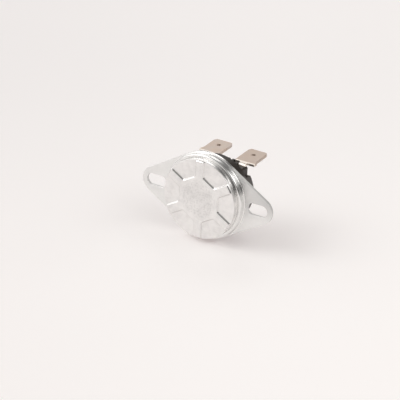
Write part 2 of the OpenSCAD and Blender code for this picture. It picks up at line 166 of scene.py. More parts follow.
class ThermostatStage(bpy.types.PropertyGroup):
    """Camera, floor and the room that lights the object."""

    lens: FloatProperty(name="Lens", description="Focal length in millimetres", default=225)
    distance: length("Distance", "Distance of the camera from the origin along its axis", 715 * MM)
    shift_x: length("Sideways", "Place of the origin to the right of the picture's middle", -0.572 * MM)
    shift_y: length("Upwards", "Place of the origin above the picture's middle", 0.0715 * MM)
    floor: tint("Floor", "Colour of the floor", (0.825, 0.839, 0.824))
    glow: tint("Glow", "Light that the floor gives off in front", (0.23, 0.19, 0.19))
    far_glow: tint("Far glow", "Light that the floor gives off far behind", (0.17, 0.135, 0.14))
    tone: tint("Room", "Colour of the room", (1.0, 0.98, 0.965))
    paper: tint("Paper", "Colour that is seen behind the floor", (0.88, 0.85, 0.83))
    strength: FloatProperty(name="Strength", description="Strength of the room's light", default=5.0875)


class Signal:
    """One output socket of a node tree; arithmetic on it adds Math nodes."""

    def __init__(self, finish, socket):
        self.finish = finish
        self.socket = socket

    def math(self, operation, *values):
        """A Math node on values and signals."""
        return self.finish.add("ShaderNodeMath", {"operation": operation}, dict(enumerate(values)))

    def __add__(self, other):
        return self.math("ADD", self, other)

    def __sub__(self, other):
        return self.math("SUBTRACT", self, other)

    def __rsub__(self, other):
        return self.math("SUBTRACT", other, self)

    def __mul__(self, other):
        return self.math("MULTIPLY", self, other)

    def __pow__(self, other):
        return self.math("POWER", self, other)

    __radd__ = __add__
    __rmul__ = __mul__

    def between(self, low, high):
        """A smooth step from 0 at low to 1 at high."""
        settings = {"interpolation_type": "SMOOTHSTEP"}
        values = {"Value": self, "From Min": low, "From Max": high}
        return self.finish.add("ShaderNodeMapRange", settings, values)


class Finish:
    """The node tree of a material or a world under construction, with one method that adds any node."""

    def __init__(self, owner):
        owner.use_nodes = True
        self.owner = owner
        self.tree = owner.node_tree
        self.tree.nodes.clear()

    def add(self, kind, settings=None, values=None, output=0):
        """Adds a node and returns one output.

        The settings are made first, and "stops" gives a colour ramp its places and colours. Then each value
        is linked if it is a signal, and otherwise set on its socket, where a colour gets its alpha."""
        node = self.tree.nodes.new(kind)
        for name, value in (settings or {}).items():
            if name == "stops":
                self.set_stops(node.color_ramp, value)
            else:
                setattr(node, name, value)
        for name, value in (values or {}).items():
            socket = node.inputs[name]
            if isinstance(value, Signal):
                self.tree.links.new(value.socket, socket)
            elif socket.type == "RGBA":
                socket.default_value = (*value, 1)
            else:
                socket.default_value = value
        return Signal(self, node.outputs[output]) if node.outputs else None

    @staticmethod
    def set_stops(ramp, stops):
        """Gives a colour ramp as many stops as there are places with colours, and sets them."""
        while len(ramp.elements) < len(stops):
            ramp.elements.new(0.5)
        for stop, (place, colour) in zip(ramp.elements, stops):
            stop.position = place
            stop.color = (*colour, 1)

    def place(self):
        """Object coordinates in metres."""
        return self.add("ShaderNodeTexCoord", output="Object")

    def split(self, vector):
        """The three numbers of a vector."""
        first = self.add("ShaderNodeSeparateXYZ", values={0: vector})
        return [Signal(self, socket) for socket in first.socket.node.outputs]

    def stretch(self, vector, scale):
        """A vector with its axes stretched, in cycles per metre."""
        return self.add("ShaderNodeVectorMath", {"operation": "MULTIPLY"}, {0: vector, 1: scale})

    def noise(self, vector, scale, detail=2.0, roughness=0.5):
        """Noise about 0.5, with its size in cycles per unit of the vector."""
        values = {"Vector": vector, "Scale": scale, "Detail": detail, "Roughness": roughness}
        return self.add("ShaderNodeTexNoise", values=values)

    def mix(self, factor, low, high):
        """A colour that goes from low to high with the factor, by the colour sockets of a Mix node."""
        return self.add("ShaderNodeMix", {"data_type": "RGBA"}, {0: factor, 6: low, 7: high}, output=2)

    def surface(self, bump=None, height=0.02 * MM, **sockets):
        """Ends the material in a Principled BSDF whose sockets are named in small letters.

        A bump is a height from 0 to 1, and its full height stands for a depth in metres."""
        values = {"IOR": sockets.pop("ior", 1.5)}
        values.update((name.replace("_", " ").title(), value) for name, value in sockets.items())
        if bump is not None:
            values["Normal"] = self.add("ShaderNodeBump", values={"Height": bump, "Distance": height})
        shader = self.add("ShaderNodeBsdfPrincipled", values=values)
        self.add("ShaderNodeOutputMaterial", values={"Surface": shader})
        return self.owner


def shade(colour, factor):
    """A colour made darker or lighter by a factor."""
    return tuple(min(1.0, c * factor) for c in colour)


def sheet_aluminium(name, s):
    """Rolled sheet: fine grain along X on the flats, scuffed on the hub, smoother where it was drawn, and
    painted shade on the pockets' slopes.
    """
    f = Finish(bpy.data.materials.new(name))
    place = f.place()
    x, y, z = f.split(place)
    r = (x * x + z * z) ** 0.5
    hub = 1 - r.between(s.hub - 2 * MM, s.hub)
    flank = y.between(0.03 * MM, 0.1 * MM) * (1 - y.between(s.pocket - 0.09 * MM, s.pocket - 0.02 * MM))
    drawn = y.between(s.pocket + 0.2 * MM, s.pocket + 0.6 * MM)
    grain = f.noise(f.stretch(place, (60, 1500, 1500)), 4.0, 3.0, 0.6)
    mottle = f.noise(place, 700.0, 4.0, 0.6)
    cloud = f.noise(place, 160.0, 2.0)
    scuffs = f.noise(place, 1500.0, 3.0).between(0.48, 0.64) * hub
    draw_lines = f.noise(f.stretch(place, (1800, 90, 1800)), 2.0, 2.0)
    tone = cloud * 0.4 + mottle * 0.4 + grain * 0.2 - hub * 0.06 - scuffs * 0.17
    base = f.mix(tone.between(0.2, 0.65), shade(s.colour, 0.82), shade(s.colour, 1.05))
    # Painted shade: the pockets' slopes are darkened, standing in for the darker reflections they catch.
    base = f.mix(flank * 0.3, base, shade(s.colour, 0.62))
    rough_flat = 0.34 + mottle * 0.12 + grain * 0.06 - flank * 0.24
    rough_drawn = 0.17 + draw_lines * 0.08
    rough = rough_flat * (1 - drawn) + rough_drawn * drawn
    height = (grain * 0.45 + mottle * 0.55) * (1 - drawn) + draw_lines * drawn * 0.4
    return f.surface(bump=height, height=0.006 * MM, base_color=base, metallic=1.0, roughness=rough)


def plate_aluminium(name, s):
    """Satin plate, dull on the stamped edges, with painted shade on the right ear and turned rings on its
    bright collar.
    """
    f = Finish(bpy.data.materials.new(name))
    place = f.place()
    x, y, z = f.split(place)
    r = (x * x + z * z) ** 0.5
    foot = s.bore + s.wall + s.fillet
    turned = 1 - r.between(foot, foot + 0.3 * MM)
    rings = f.noise(f.add("ShaderNodeCombineXYZ", values={0: r * 9000, 1: y * 9000}), 1.0, 2.0, 0.6)
    mottle = f.noise(place, 800.0, 4.0, 0.6)
    grain = f.noise(f.stretch(place, (60, 1500, 1500)), 4.0, 3.0, 0.6)
    cloud = f.noise(place, 150.0, 2.0)
    tone = cloud * 0.5 + mottle * 0.3 + grain * 0.2
    base = f.mix(tone.between(0.3, 0.7), shade(s.colour, 0.93), shade(s.colour, 1.04))
    # Painted shade: the right ear's colour is darkened in clouds.
    right_ear_painted_shade = x.between(9 * MM, 22 * MM) * z.between(-4 * MM, 3 * MM)
    base = f.mix(right_ear_painted_shade * (0.6 + cloud * 0.6), base, shade(s.colour, 0.74))
    front, back = FLANGE_HIGH.y - s.sheet, FLANGE_HIGH.y
    cut = y.between(front + 0.03 * MM, front + 0.15 * MM)
    cut = cut * (1 - y.between(back - 0.08 * MM, back - 0.02 * MM))
    rough = (0.36 + mottle * 0.12 + cut * 0.3) * (1 - turned) + (0.08 + rings * 0.1) * turned
    height = (grain * 0.45 + mottle * 0.55) * (1 - turned) + rings * turned
    return f.surface(bump=height, height=0.006 * MM, base_color=base, metallic=1.0, roughness=rough)


def phenolic(name, colour, speck):
    """Moulded phenolic: a granular skin with lighter fibres of filler, and a painted sheen of light grey
    below the right tab.
    """
    f = Finish(bpy.data.materials.new(name))
    place = f.place()
    x, _, z = f.split(place)
    # Painted sheen: a lighter grey below the right tab stands in for the bright room reflected on the body's
    # side.
    painted_sheen = x.between(7.5 * MM, 9 * MM) * (1 - z.between(5.5 * MM, 7.5 * MM))
    grit = f.noise(place, 2600.0, 4.0, 0.65)
    flow = f.noise(place, 260.0, 3.0)
    fibre = f.noise(f.stretch(place, (900, 2600, 900)), 1.0, 3.0, 0.7)
    tone = flow.between(0.3, 0.7)
    base = f.mix(tone, shade(colour, 0.82), shade(colour, 1.25))
    base = f.mix(fibre.between(0.62, 0.78) * 0.5, base, speck)
    base = f.mix(painted_sheen * (0.35 + grit), base, (0.1, 0.092, 0.088))
    rough = 0.34 + grit * 0.2
    height = grit * 0.7 + flow * 0.3
    return f.surface(bump=height, height=0.012 * MM, base_color=base, roughness=rough, ior=1.45)


def plated(name, s):
    """Plated strip: fine lines, warm tarnish in clouds, darker on the right, and a painted highlight at the
    bend.
    """
    f = Finish(bpy.data.materials.new(name))
    place = f.place()
    x, y, z = f.split(place)
    lines = f.noise(f.stretch(place, (1400, 60, 1400)), 3.0, 3.0, 0.6)
    cloud = f.noise(place, 320.0, 3.0, 0.6)
    mottle = f.noise(place, 1500.0, 3.0)
    base = f.mix(cloud.between(0.35, 0.7), s.colour, s.tarnish)
    # The right tab is made darker with a dimmer tarnish colour.
    base = f.mix(x.between(-1 * MM, 1 * MM) * 0.5, base, shade(s.tarnish, 0.85))
    rear = rear_face(s)
    # Painted highlight: the outside of the bend is turned to a bright cream, standing in for the light it
    # catches.
    bend = z.between(s.top - 1.75 * MM, s.top - 0.75 * MM) * (1 - y.between(rear + 0.6 * MM, rear + 1.1 * MM))
    base = f.mix(bend * 0.8, base, s.painted_highlight)
    rough = 0.3 + mottle * 0.1 + lines * 0.08
    height = lines * 0.6 + mottle * 0.4
    return f.surface(bump=height, height=0.004 * MM, base_color=base, metallic=1.0, roughness=rough)


def ringed(name, colour, centre_x, metallic, roughness):
    """A turned or burnished end: fine rings round an axis along Y at centre_x, to the left and the right."""
    f = Finish(bpy.data.materials.new(name))
    place = f.place()
    x, y, z = f.split(place)
    across = x.math("ABSOLUTE", x) - centre_x
    r = (across * across + z * z) ** 0.5
    rings = f.noise(f.add("ShaderNodeCombineXYZ", values={0: r * 7000, 1: y * 2500}), 1.0, 2.0, 0.6)
    mottle = f.noise(place, 1200.0, 3.0)
    base = f.mix(mottle.between(0.3, 0.7), shade(colour, 0.9), shade(colour, 1.05))
    rough = roughness + rings * 0.12
    height = rings * 0.7 + mottle * 0.3
    return f.surface(bump=height, height=0.004 * MM, base_color=base, metallic=metallic, roughness=rough)


def strip_metal(name, colour, scale):
    """Rolled strip inside the switch."""
    f = Finish(bpy.data.materials.new(name))
    place = f.place()
    lines = f.noise(f.stretch(place, scale), 3.0, 3.0, 0.6)
    cloud = f.noise(place, 400.0, 2.0)
    base = f.mix(cloud.between(0.3, 0.7), shade(colour, 0.88), shade(colour, 1.06))
    rough = 0.24 + lines * 0.12
    return f.surface(bump=lines, height=0.004 * MM, base_color=base, metallic=1.0, roughness=rough)


class Shell:
    """Patches of points and faces that are welded into one closed mesh."""

    def __init__(self):
        self.points = []
        self.faces = []
        self.count = 0

    def patch(self, points, faces):
        """Adds points and faces that number those points from 0; like the next two, returns the shell."""
        self.points.append(points.reshape(-1, 3))
        self.faces.extend((faces + self.count).tolist())
        self.count += len(self.points[-1])
        return self

    def grid(self, points, wrap=True):
        """Adds a grid of rows by columns as quads; wrap joins the last column to the first."""
        rows, columns = points.shape[:2]
        index = np.arange(rows * columns).reshape(rows, columns)
        if wrap:
            index = np.concatenate([index, index[:, :1]], axis=1)
        corners = (index[:-1, :-1], index[:-1, 1:], index[1:, 1:], index[1:, :-1])
        return self.patch(points, np.stack(corners, axis=-1).reshape(-1, 4))

    def flat(self, loops):
        """Fills the first loop of points, less the others, with flat triangles."""
        points = np.concatenate(loops)
        rings = [[Vector(point) for point in loop] for loop in loops]
        return self.patch(points, np.array(tessellate_polygon(rings), dtype=int))

    def build(self, name, material):
        """Makes the object: welds the patches, turns the faces outwards and smooths them by area."""
        raw = bpy.data.meshes.new(name)
        raw.from_pydata(np.concatenate(self.points).tolist(), [], self.faces)
        work = bmesh.new()
        work.from_mesh(raw)
        bmesh.ops.remove_doubles(work, verts=work.verts, dist=WELD)
        bmesh.ops.dissolve_degenerate(work, edges=work.edges, dist=WELD / 10)
        bmesh.ops.recalc_face_normals(work, faces=work.faces)
        work.to_mesh(raw)
        work.free()
        smooth_by_area(raw)
        raw.materials.append(material)
        piece = bpy.data.objects.new(name, raw)
        bpy.context.scene.collection.objects.link(piece)
        return piece


def smooth_by_area(mesh):
    """Sets each point's normal to the sum of its faces' normals times their areas: flats stay flat."""
    mesh.shade_smooth()
    count = len(mesh.loops)
    corner_vertex = np.empty(count, dtype=np.int32)
    mesh.loops.foreach_get("vertex_index", corner_vertex)
    sizes = np.empty(len(mesh.polygons), dtype=np.int32)
    mesh.polygons.foreach_get("loop_total", sizes)
    areas = np.empty(len(sizes), dtype=np.float32)
    mesh.polygons.foreach_get("area", areas)
    normals = np.empty(len(sizes) * 3, dtype=np.float32)
    mesh.polygons.foreach_get("normal", normals)
    weighted = np.repeat(normals.reshape(-1, 3) * areas[:, None], sizes, axis=0)
    total = np.zeros((len(mesh.vertices), 3))
    np.add.at(total, corner_vertex, weighted)
    total /= np.maximum(np.linalg.norm(total, axis=1, keepdims=True), 1e-20)
    mesh.normals_split_custom_set_from_vertices(total.tolist())


def arc(centre, radius, start, end, steps):
    """Points of a circle between two angles in degrees: the centre plus the radius times cosine and sine."""
    angle = np.radians(np.linspace(start, end, steps))
    return np.asarray(centre) + radius * np.stack([np.cos(angle), np.sin(angle)], axis=-1)


def turned(profile, segments, centre_x=0.0):
    """Turns a profile of radius and depth about an axis along Y at centre_x.

    Each point goes round a circle: X and Z are its radius times the cosine and the sine of the angle."""
    angle = np.linspace(0, 2 * np.pi, segments, endpoint=False)
    radius, depth = profile[:, :1], profile[:, 1:]
    across = centre_x + radius * np.cos(angle)
    up = radius * np.sin(angle)
    return np.stack([across, np.broadcast_to(depth, across.shape), up], axis=-1)


def rounded_loop(corners):
    """A closed loop of corners, each with a radius, given against the clock: points and outward normals.

    An arc starts before its corner by the radius times the tangent of half the turn. Its normals run from
    that of the side before to that of the side after, and its points lie a radius along them."""
    places = np.array([corner[:2] for corner in corners], dtype=float)
    radii = np.array([corner[2] for corner in corners], dtype=float)[:, None]
    before = places - np.roll(places, 1, axis=0)
    before /= np.linalg.norm(before, axis=1, keepdims=True)
    after = np.roll(before, -1, axis=0)
    across = before[:, 0] * after[:, 1] - before[:, 1] * after[:, 0]
    turn = np.arctan2(across, (before * after).sum(1))[:, None]
    side = np.sign(turn)
    normal = np.stack([before[:, 1], -before[:, 0]], axis=-1)
    centre = places - before * radii * np.tan(np.abs(turn) / 2) - normal * radii * side
    angle = np.arctan2(normal[:, 1], normal[:, 0])[:, None] + turn * np.linspace(0, 1, CORNER_STEPS)
    normals = np.stack([np.cos(angle), np.sin(angle)], axis=-1)
    points = centre[:, None] + normals * (radii * side)[:, None]
    return points.reshape(-1, 2), normals.reshape(-1, 2)


def hole_loop(height, radius):
    """The points of a round hole at a height over the rivet, and the normals that point into the hole."""
    angle = np.linspace(0, 2 * np.pi, 32, endpoint=False)
    outward = np.stack([np.cos(angle), np.sin(angle)], axis=-1)
    return np.array([0, height]) + radius * outward, -outward


def edge_rows(loop, normals, thickness, front, rear):
    """Carries a stamped edge round a loop, from the front face to the rear face: points and depths.

    The front rounding leaves the face one radius inside the loop and follows a quarter circle to the side,
    and the rear rounding mirrors it with its own radius."""
    quarter = np.radians(np.linspace(0, 90, 5))
    inset = np.concatenate([front * (1 - np.sin(quarter)), rear * (1 - np.cos(quarter))])
    depth = np.concatenate([front * (1 - np.cos(quarter)), thickness - rear + rear * np.sin(quarter)])
    points = loop[None] - normals[None] * inset[:, None, None]
    return points, np.broadcast_to(depth[:, None], points.shape[:2])


def pocket_shape(x, z, s):
    """Depth of the pressed pockets at points of the face, from 0 on the star to the full depth.

    The plane is folded onto one pocket of six. The distances to the hub's flat and to the spoke's side are
    joined by a soft minimum, and a ramp with rounded knees turns that distance into the pressed slope."""
    radius = np.hypot(x, z)
    sector = np.pi / 3
    angle = np.mod(np.arctan2(z, x) + sector / 2, sector) - sector / 2
    from_hub = radius * np.cos(angle) - s.hub
    from_spoke = radius * np.sin(sector / 2 - np.abs(angle)) - s.spoke
    share = soft_minimum(from_hub, from_spoke, s.corner) / s.flank
    knee = 0.28
    return s.pocket * (soft_ramp(share, knee) - soft_ramp(share - 1, knee))


def soft_minimum(a, b, width):
    """The smaller of two numbers, rounded by a parabola where they lie within a width of one another."""
    blend = np.maximum(width - np.abs(a - b), 0) / width
    return np.minimum(a, b) - blend * blend * width / 4


def soft_ramp(value, knee):
    """0 below, the value itself above, and a parabola within the knee on both sides of 0."""
    middle = (value + knee) ** 2 / (4 * knee)
    return np.where(value < -knee, 0.0, np.where(value > knee, value, middle))


def star_grid(s, face_radius):
    """Places on the face whose lines run along the spokes' sides, the hub's flats and the rim.

    A column keeps its distance from its spoke's axis outside the hub, and its angle inside it. The rows go
    from the hub's hexagon to the rim's circle. Both are solved together by a few rounds of substitution."""
    soft = 0.15 * MM
    offsets = np.concatenate([
        np.linspace(0, s.spoke - soft, 4)[:-1],
        np.linspace(s.spoke - soft, s.spoke + s.flank + soft, 10),
    ])
    share = np.concatenate([np.zeros(len(offsets)), np.linspace(0, 1, 10)[1:-1], [1.0]])
    offsets = np.concatenate([offsets, np.full(len(share) - len(offsets), offsets[-1])])
    hub_rows = np.concatenate([
        np.linspace(0, s.hub - soft, 9)[:-1],
        np.linspace(s.hub - soft, s.hub + s.flank + soft, 10),
    ])
    rim_start = face_radius - 4 * soft
    rim_rows = np.linspace(rim_start, face_radius, 7)
    floor_share = np.linspace(0, 1, 14)[1:-1]
    half = np.pi / 6
    rounds = 12
    rows = len(hub_rows) + len(floor_share) + len(rim_rows)
    angle = np.broadcast_to(np.linspace(0, half, len(offsets)), (rows, len(offsets)))
    for _ in range(rounds):
        stretch = 1 / np.cos(half - angle)
        hub_part = hub_rows[:, None] * stretch[:len(hub_rows)]
        last = hub_rows[-1] * stretch[len(hub_rows):len(hub_rows) + len(floor_share)]
        floor_part = last + (rim_start - last) * floor_share[:, None]
        rim_part = np.broadcast_to(rim_rows[:, None], (len(rim_rows), len(offsets)))
        radius = np.concatenate([hub_part, floor_part, rim_part])
        away = np.arcsin(offsets / np.maximum(radius, s.hub))
        angle = away + (half - away) * share
    half_sector = np.concatenate([-angle[:, :0:-1], angle[:, :-1]], axis=1)
    radius = np.concatenate([radius[:, :0:-1], radius[:, :-1]], axis=1)
    spokes = half + np.arange(6) * 2 * half
    angle = (half_sector[:, None, :] + spokes[None, :, None]).reshape(rows, -1)
    radius = np.broadcast_to(radius[:, None, :], (rows, 6, radius.shape[1])).reshape(rows, -1)
    return radius, angle


def cap_shell(s):
    """The drawn cap: star face, rounded edge, wall with its bead, rolled rear edge and the inner side.

    The bead is one wave of a raised cosine. Each ring of the side keeps the larger of its own depth and that
    of the pressed star, so that the pockets run out into the rounded edge. On the last two arcs, on the inner
    side, the sheet's thickness is added to the star."""
    wall = CAP_HIGH.x - s.bead
    face = wall - s.edge
    end = CAP_HIGH.y
    bore = wall - s.sheet
    lip = bore - s.lap
    lip_round = 0.2 * MM
    inner_round = 0.15 * MM
    inner_rings = 4
    bead_y = FLANGE_HIGH.y + s.bead
    bead_half = 0.35 * MM
    radius, angle = star_grid(s, face)
    depth = pocket_shape(radius * np.cos(angle), radius * np.sin(angle), s)
    bead_depth = np.linspace(bead_y - bead_half, bead_y + bead_half, 17)
    bead_radius = wall + s.bead / 2 * (1 + np.cos(np.pi * (bead_depth - bead_y) / bead_half))
    outer = np.concatenate([
        arc((face, s.edge), s.edge, -90, 0, 12)[1:],
        np.stack([np.full(6, wall), np.linspace(s.edge, bead_depth[0], 8)[1:-1]], axis=-1),
        np.stack([bead_radius, bead_depth], axis=-1),
        arc((wall - s.roll, end - s.roll), s.roll, 0, 90, 12),
        arc((lip + lip_round, end - lip_round), lip_round, 90, 180, 6),
        [[lip, end - s.sheet], [bore - inner_round, end - s.sheet]],
        arc((bore - inner_round, end - s.sheet - inner_round), inner_round, 90, 0, inner_rings),
        arc((bore - inner_round, s.sheet + inner_round), inner_round, 0, -90, inner_rings),
    ])
    meridian = angle[-1]
    side_x, side_z = outer[:, :1] * np.cos(meridian), outer[:, :1] * np.sin(meridian)
    added = np.where(np.arange(len(outer)) < len(outer) - 2 * inner_rings, 0, s.sheet)[:, None]
    side_y = np.maximum(outer[:, 1:], pocket_shape(side_x, side_z, s) + added)
    sides = np.stack([side_x, side_y, side_z], axis=-1)
    front = np.stack([radius * np.cos(angle), depth, radius * np.sin(angle)], axis=-1)
    inner = np.stack([front[..., 0], depth + s.sheet, front[..., 2]], axis=-1)[-2::-1]
    return Shell().grid(np.concatenate([front, sides, inner]))


def flange_outline(s):
    """The ring and the two ears joined by tangent lines, against the clock: points and outward normals.

    The cosine of a tangent's angle is the difference of the two radii over the distance of the centres."""
    ring = FLANGE_HIGH.z
    ear_x = FLANGE_HIGH.x - s.ear
    lean = math.degrees(math.acos((ring - s.ear) / ear_x))
    parts = [
        ((ear_x, 0), s.ear, -lean, lean, 41),
        ((0, 0), ring, lean, 180 - lean, 61),
        ((-ear_x, 0), s.ear, 180 - lean, 180 + lean, 41),
        ((0, 0), ring, 180 + lean, 360 - lean, 61),
    ]
    points = np.concatenate([arc(*part) for part in parts])
    normals = np.concatenate([arc((0, 0), 1, *part[2:]) for part in parts])
    return points, normals


def lay(points, depth):
    """Points of X and Z with their depths as points in space."""
    depth = np.broadcast_to(depth, points.shape[:-1])
    return np.stack([points[..., 0], depth, points[..., 1]], axis=-1)


def flange_shell(s):
    """The plate with stamped edges and slots, and the drawn and turned collar that grows out of it.

    The collar's profile is a fillet, a wall less two grooves, the lip and the bore. The depth of a groove is
    the square of a triangle."""
    front, back = FLANGE_HIGH.y - s.sheet, FLANGE_HIGH.y
    lip_y = FLANGE_LOW.y
    collar = s.bore + s.wall
    wall_y = lip_y + s.lip
    foot = collar + s.fillet
    straight = s.slot_length / 2 - s.slot_width / 2
    loops = [flange_outline(s)]
    for side in (-1, 1):
        centre = side * s.slot_place
        right = arc((centre + straight, 0), s.slot_width / 2, -90, 90, 31)
        left = arc((centre - straight, 0), s.slot_width / 2, 90, 270, 31)
        outward = np.concatenate([arc((0, 0), 1, -90, 90, 31), arc((0, 0), 1, 90, 270, 31)])
        loops.append((np.concatenate([right, left]), -outward))
    edges = []
    for loop, normals in loops:
        points, depth = edge_rows(loop, normals, s.sheet, s.rollover, s.burr)
        edges.append(lay(points, front + depth))
    wall_rows, grooves, narrow = 60, 2, 5
    straight_y = np.linspace(wall_y, front - s.fillet, wall_rows)
    phase = np.linspace(0, grooves, wall_rows) % 1
    groove = s.groove * np.clip(1 - np.abs(phase - 0.5) * narrow, 0, 1) ** 2
    profile = np.concatenate([
        arc((foot, front - s.fillet), s.fillet, 90, 180, 12),
        np.stack([collar - groove, straight_y], axis=-1)[::-1][1:],
        arc((collar - s.lip, wall_y), s.lip, 0, -90, 12)[1:],
        arc((s.bore + s.lip_inner, lip_y + s.lip_inner), s.lip_inner, -90, -180, 6),
        arc((s.bore + s.burr, back - s.burr), s.burr, 180, 90, 5),
    ])
    edges.append(turned(profile, 240))
    shell = Shell()
    for rows in edges:
        shell.grid(rows)
    for row in (0, -1):
        shell.flat([rows[row] for rows in edges])
    return shell


def rear_face(s):
    """Depth of the body's rear face, on which the rivets' outer heads and the terminals' eyes sit."""
    return RIVET_HIGH.y - s.head


def bend_line(s):
    """Height at which a terminal's bend starts, the angle it turns, and the length of its neutral line."""
    start = s.top - (s.bend + s.sheet) * math.cos(s.tilt)
    turn = math.pi / 2 - s.tilt
    return start, turn, (s.bend + s.sheet / 2) * turn


def bend_sheet(points, depth, s, side):
    """Lays a flat blank of width and length into the bent terminal.

    Up to the bend the blank stands against the body's rear face. Through the bend a point's angle grows with
    its length over the bend's neutral line, and behind it the blank runs straight along the tilted tab."""
    start, turn, neutral = bend_line(s)
    run = points[..., 1] - start
    angle = np.clip(run / neutral, 0, 1) * turn
    past = np.maximum(run - neutral, 0)
    reach = s.bend + depth
    y = rear_face(s) + s.bend - reach * np.cos(angle) + past * math.cos(s.tilt)
    z = start + reach * np.sin(angle) + past * math.sin(s.tilt) + np.minimum(run, 0)
    return np.stack([side * (s.pitch + points[..., 0]), y, z], axis=-1)


def terminal_shell(s, side):
    """A tab stamped with its eye, neck, nub and locking hole, and bent up behind the body.

    The blank is drawn flat, with its width across and its length up from the rivet. Its loop runs round the
    eye, up the right side of the neck, round the blade and down the left side."""
    start, _, neutral = bend_line(s)
    flat_end = start + neutral
    shoulder = flat_end + s.shoulder
    tip = flat_end + s.blade
    half, neck = s.width / 2, s.neck / 2
    small, tight, nub_round = 0.2 * MM, 0.07 * MM, 0.35 * MM
    blade = [
        (neck, flat_end, tight),
        (neck, shoulder, tight),
        (half + s.nub, shoulder, nub_round),
        (half + s.nub, shoulder + s.nub_length / 2, small),
        (half, shoulder + s.nub_length, small),
        (half, tip - s.tip_length, small),
        (half - s.tip_width, tip, small),
        (s.tip_width - half, tip, small),
        (-half, tip - s.tip_length, small),
        (-half, shoulder, small),
        (-neck, shoulder, tight),
        (-neck, flat_end, tight),
    ]
    blade_points, blade_normals = rounded_loop(blade)
    inside = slice(CORNER_STEPS, -CORNER_STEPS)
    bend_rows = 9
    up = np.linspace(start, flat_end, bend_rows)
    right = np.stack([np.full(bend_rows, neck), up], axis=-1)
    left = np.stack([np.full(bend_rows, -neck), up[::-1]], axis=-1)
    lean = math.degrees(math.asin(neck / s.eye))
    eye_points = arc((0, 0), s.eye, 90 + lean, 450 - lean, 61)
    eye_normals = arc((0, 0), 1, 90 + lean, 450 - lean, 61)
    outward = np.repeat([[1.0, 0.0]], bend_rows, axis=0)
    loop = np.concatenate([eye_points, right, blade_points[inside], left])
    normals = np.concatenate([eye_normals, outward, blade_normals[inside], -outward])
    shell = Shell()
    points, depth = edge_rows(loop, normals, s.sheet, s.edge, s.edge)
    rows = bend_sheet(points, depth, s, side)
    shell.grid(rows)
    hole_rows = []
    for height, radius in ((0, s.shank), (tip - s.hole_from_tip, s.hole)):
        points, depth = edge_rows(*hole_loop(height, radius), s.sheet, s.edge / 2, s.edge / 2)
        hole_rows.append(bend_sheet(points, depth, s, side))
        shell.grid(hole_rows[-1])
    first_right = len(eye_points)
    last_right = first_right + bend_rows
    first_left = len(loop) - bend_rows
    for row in (0, -1):
        ring = rows[row]
        foot = np.concatenate([ring[:first_right + 1], ring[-1:]])
        shell.flat([foot, hole_rows[0][row]])
        shell.flat([ring[last_right - 1:first_left + 1], hole_rows[1][row]])
        neck_grid = np.stack([ring[first_right:last_right], ring[:first_left - 1:-1]], axis=1)
        shell.grid(neck_grid, wrap=False)
    return shell


def rivet_shell(s, side, node):
    """A solid rivet: a flat inner head, its shank, and an outer head formed to a low dome with a centre mark.

    The dome falls by the cube of the share of its radius, and the mark sinks by a parabola."""
    radius = (RIVET_HIGH.x - RIVET_LOW.x) / 2
    inner_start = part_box(node)[0].y
    inner_end = inner_start + s.head
    inner_round = 0.1 * MM
    rear, end = rear_face(s), RIVET_HIGH.y
    step = 0.05 * MM
    rim = 0.28 * MM
    mark = 0.45 * MM
    mark_depth = 0.12 * MM
    share = np.linspace(1, 0, 14)
    dome = np.stack([mark + (radius - rim * 0.5 - mark) * share, end - rim * 0.6 * share ** 3], axis=-1)
    share = np.linspace(1, 0, 6)[1:]
    dent = np.stack([mark * share, end - mark_depth * (1 - share ** 2)], axis=-1)
    profile = np.concatenate([
        [[0, inner_start]],
        arc((radius - inner_round, inner_start + inner_round), inner_round, -90, 0, 5),
        [[radius, inner_end], [s.shank, inner_end], [s.shank, rear]],
        [[radius - step, rear], [radius, rear + step], [radius, end - rim * 1.6]],
        dome,
        dent,
    ])
    return Shell().grid(turned(profile, 64, side * s.pitch))


def button_shell():
    """The plunger: nose, shoulder, stem with a rounded end, and a dish that sinks by a squared sine."""
    stem = 1.7 * MM
    nose = 0.8 * MM
    nose_round = 0.15 * MM
    shoulder = (BUTTON_HIGH.x - BUTTON_LOW.x) / 2
    shoulder_y = BUTTON_LOW.y + 0.5 * MM
    shoulder_t = 0.5 * MM
    edge = 0.4 * MM
    end = BUTTON_HIGH.y
    dish = 1.0 * MM
    dish_depth = 0.12 * MM
    share = np.linspace(0, 1, 9)
    dished = np.stack([dish * (1 - share), end - dish_depth * np.sin(share * np.pi / 2) ** 2], axis=-1)
    profile = np.concatenate([
        [[0, BUTTON_LOW.y]],
        arc((nose - nose_round, BUTTON_LOW.y + nose_round), nose_round, -90, 0, 5),
        [[nose, shoulder_y], [shoulder, shoulder_y]],
        [[shoulder, shoulder_y + shoulder_t], [stem, shoulder_y + shoulder_t]],
        arc((stem - edge, end - edge), edge, 0, 90, 9),
        dished,
    ])
    return Shell().grid(turned(profile, 72))


def settle(piece, body, node):
    """Makes a piece ride on its body and stand for its node, whose own solid it hides."""
    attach(piece, body)
    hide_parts(node)


def dress(node, material):
    """Gives a node that keeps its own solid a better material."""
    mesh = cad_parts[node].data
    mesh.materials.clear()
    mesh.materials.append(material)


class THERMOSTAT_OT_cap(bpy.types.Operator):
    """Build the drawn aluminium cap with its pressed star"""

    bl_idname = "thermostat.cap"
    bl_label = "Sensing cap"

    def execute(self, context):
        s = context.scene.thermostat_cap
        material = sheet_aluminium("cap_aluminium", s)
        settle(cap_shell(s).build("sensing_cap", material), "housing", "cap")
        return {"FINISHED"}


class THERMOSTAT_OT_flange(bpy.types.Operator):
    """Build the mounting flange with its slots and turned collar"""

    bl_idname = "thermostat.flange"
    bl_label = "Mounting flange"

    def execute(self, context):
        s = context.scene.thermostat_flange
        material = plate_aluminium("flange_aluminium", s)
        piece = flange_shell(s).build("mounting_flange", material)
        settle(piece, "housing", "flange")
        return {"FINISHED"}


